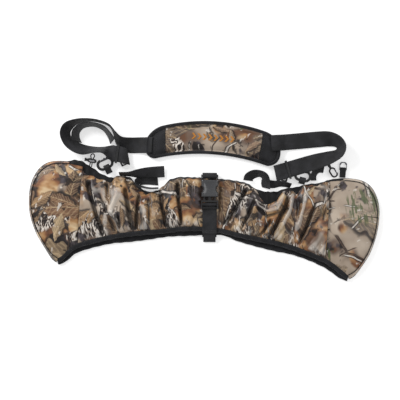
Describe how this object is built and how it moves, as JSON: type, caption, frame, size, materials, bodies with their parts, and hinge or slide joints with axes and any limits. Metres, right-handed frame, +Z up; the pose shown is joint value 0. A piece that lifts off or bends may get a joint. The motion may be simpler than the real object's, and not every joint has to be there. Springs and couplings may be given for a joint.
{
  "type": "bow sling",
  "caption": "Gathered camouflage bow cover with two cam pockets, an elastic mouth, a side-release belt and a padded shoulder sling on swivel snap hooks.",
  "frame": {"origin": "on the floor under the middle of the cover, on the flat back panel", "axes": "+X along the cover's length, +Y away from its mouth towards the shoulder pad, +Z up out of the back panel"},
  "size_m": [0.773, 0.332, 0.0365],
  "materials": {
    "black_acetal": "moulded, satin",
    "black_binding": "folded elastic binding",
    "black_lining": "stretch knit",
    "black_padding": "woven nylon",
    "black_plastic": "moulded, glossy",
    "black_webbing": "woven polypropylene",
    "camo_fabric": "printed tricot with a slight sheen",
    "dark_metal": "black nickel",
    "elastic": "braided",
    "foam": "closed-cell foam"
  },
  "bodies": {
    "cover": {"belt_back": "black_webbing", "belt_lower": "black_webbing", "belt_tail": "black_webbing", "belt_upper": "black_webbing", "buckle_female": "black_plastic", "drawcord": "elastic", "hook_eye_left": "black_acetal", "hook_eye_right": "black_acetal", "limb_strap_left": "black_webbing", "limb_strap_left_tail": "black_webbing", "limb_strap_right": "black_webbing", "limb_strap_right_tail": "black_webbing", "lock_barrel": "black_plastic", "lock_spring": "dark_metal", "mouth_binding_back": "black_binding", "mouth_binding_front": "black_binding", "mouth_elastic_back": "elastic", "mouth_elastic_front": "elastic", "pad_backing": "black_padding", "pad_binding": "black_binding", "pad_face": "camo_fabric", "pad_foam": "foam", "pad_patch_left": "black_padding", "pad_patch_right": "black_padding", "pocket_back_left": "camo_fabric", "pocket_back_right": "camo_fabric", "pocket_front_left": "camo_fabric", "pocket_front_right": "camo_fabric", "pocket_gusset_left": "camo_fabric", "pocket_gusset_right": "camo_fabric", "pocket_strap": "black_webbing", "ring_tab": "black_webbing", "sleeve_back": "camo_fabric", "sleeve_front": "camo_fabric", "sling_left": "black_webbing", "sling_left_return": "black_webbing", "sling_right": "black_webbing", "small_hook_eye": "black_acetal", "tab_left": "black_webbing", "tab_right": "black_webbing", "top_lining_left": "black_lining", "top_lining_middle": "black_lining", "top_lining_right": "black_lining"},
    "buckle_male": {"buckle_male": "black_plastic"},
    "arm_left": {"buckle_arm_left": "black_plastic"},
    "arm_right": {"buckle_arm_right": "black_plastic"},
    "hook_left": {"hook_body_left": "black_acetal", "hook_pin_left": "dark_metal"},
    "gate_left": {"hook_gate_left": "dark_metal"},
    "hook_right": {"hook_body_right": "black_acetal", "hook_pin_right": "dark_metal"},
    "gate_right": {"hook_gate_right": "dark_metal"},
    "small_hook": {"small_hook_body": "black_acetal", "small_hook_pin": "dark_metal"},
    "small_gate": {"small_hook_gate": "dark_metal"},
    "keeper_left": {"keeper_left": "black_plastic"},
    "keeper_right": {"keeper_right": "black_plastic"},
    "strap_ring": {"strap_ring": "dark_metal"},
    "lock_plunger": {"lock_plunger": "black_plastic"}
  },
  "joints": [
    {"name": "buckle_slide", "type": "slide", "parent": "cover", "child": "buckle_male", "axis": [0.0576, -0.9983, 0], "range_m": [0, 0.03], "deforming": ["belt_lower"]},
    {"name": "arm_left_flex", "type": "hinge", "parent": "buckle_male", "child": "arm_left", "pos_m": [-0.00116, 0.01172, 0.026], "axis": [0, 0, -1], "range_deg": [0, 7], "stiffness_Nm_per_rad": 0.05},
    {"name": "arm_right_flex", "type": "hinge", "parent": "buckle_male", "child": "arm_right", "pos_m": [0.0228, 0.0131, 0.026], "axis": [0, 0, 1], "range_deg": [0, 7], "stiffness_Nm_per_rad": 0.05},
    {"name": "hook_left_swivel", "type": "hinge", "parent": "cover", "child": "hook_left", "pos_m": [-0.1984, 0.0899, 0.0085], "axis": [-0.8829, -0.4695, 0], "range_deg": [-10, 10]},
    {"name": "gate_left_open", "type": "hinge", "parent": "hook_left", "child": "gate_left", "pos_m": [-0.21807, 0.08941, 0.0085], "axis": [0, 0, 1], "range_deg": [0, 25], "stiffness_Nm_per_rad": 0.02},
    {"name": "hook_right_swivel", "type": "hinge", "parent": "cover", "child": "hook_right", "pos_m": [0.1845, 0.0818, 0.0085], "axis": [0.9848, -0.1736, 0], "range_deg": [-10, 10]},
    {"name": "gate_right_open", "type": "hinge", "parent": "hook_right", "child": "gate_right", "pos_m": [0.20336, 0.08741, 0.0085], "axis": [0, 0, -1], "range_deg": [0, 25], "stiffness_Nm_per_rad": 0.02},
    {"name": "small_hook_swivel", "type": "hinge", "parent": "cover", "child": "small_hook", "pos_m": [0.2685, 0.1025, 0.007], "axis": [0.5807, -0.8141, 0], "range_deg": [-20, 20]},
    {"name": "small_gate_open", "type": "hinge", "parent": "small_hook", "child": "small_gate", "pos_m": [0.27928, 0.09678, 0.007], "axis": [0, 0, -1], "range_deg": [0, 25], "stiffness_Nm_per_rad": 0.01},
    {"name": "keeper_left_slide", "type": "slide", "parent": "cover", "child": "keeper_left", "axis": [0.9963, -0.0858, 0], "range_m": [-0.003, 0.004]},
    {"name": "keeper_right_slide", "type": "slide", "parent": "cover", "child": "keeper_right", "axis": [-0.9406, -0.3394, 0], "range_m": [-0.028, 0.011]},
    {"name": "strap_ring_tilt", "type": "hinge", "parent": "cover", "child": "strap_ring", "pos_m": [0.2995, 0.0962, 0.0042], "axis": [1, 0, 0], "range_deg": [0, 130]},
    {"name": "lock_plunger_press", "type": "slide", "parent": "cover", "child": "lock_plunger", "axis": [0.9903, -0.1392, 0], "range_m": [0, 0.003], "stiffness_N_per_m": 400}
  ]
}
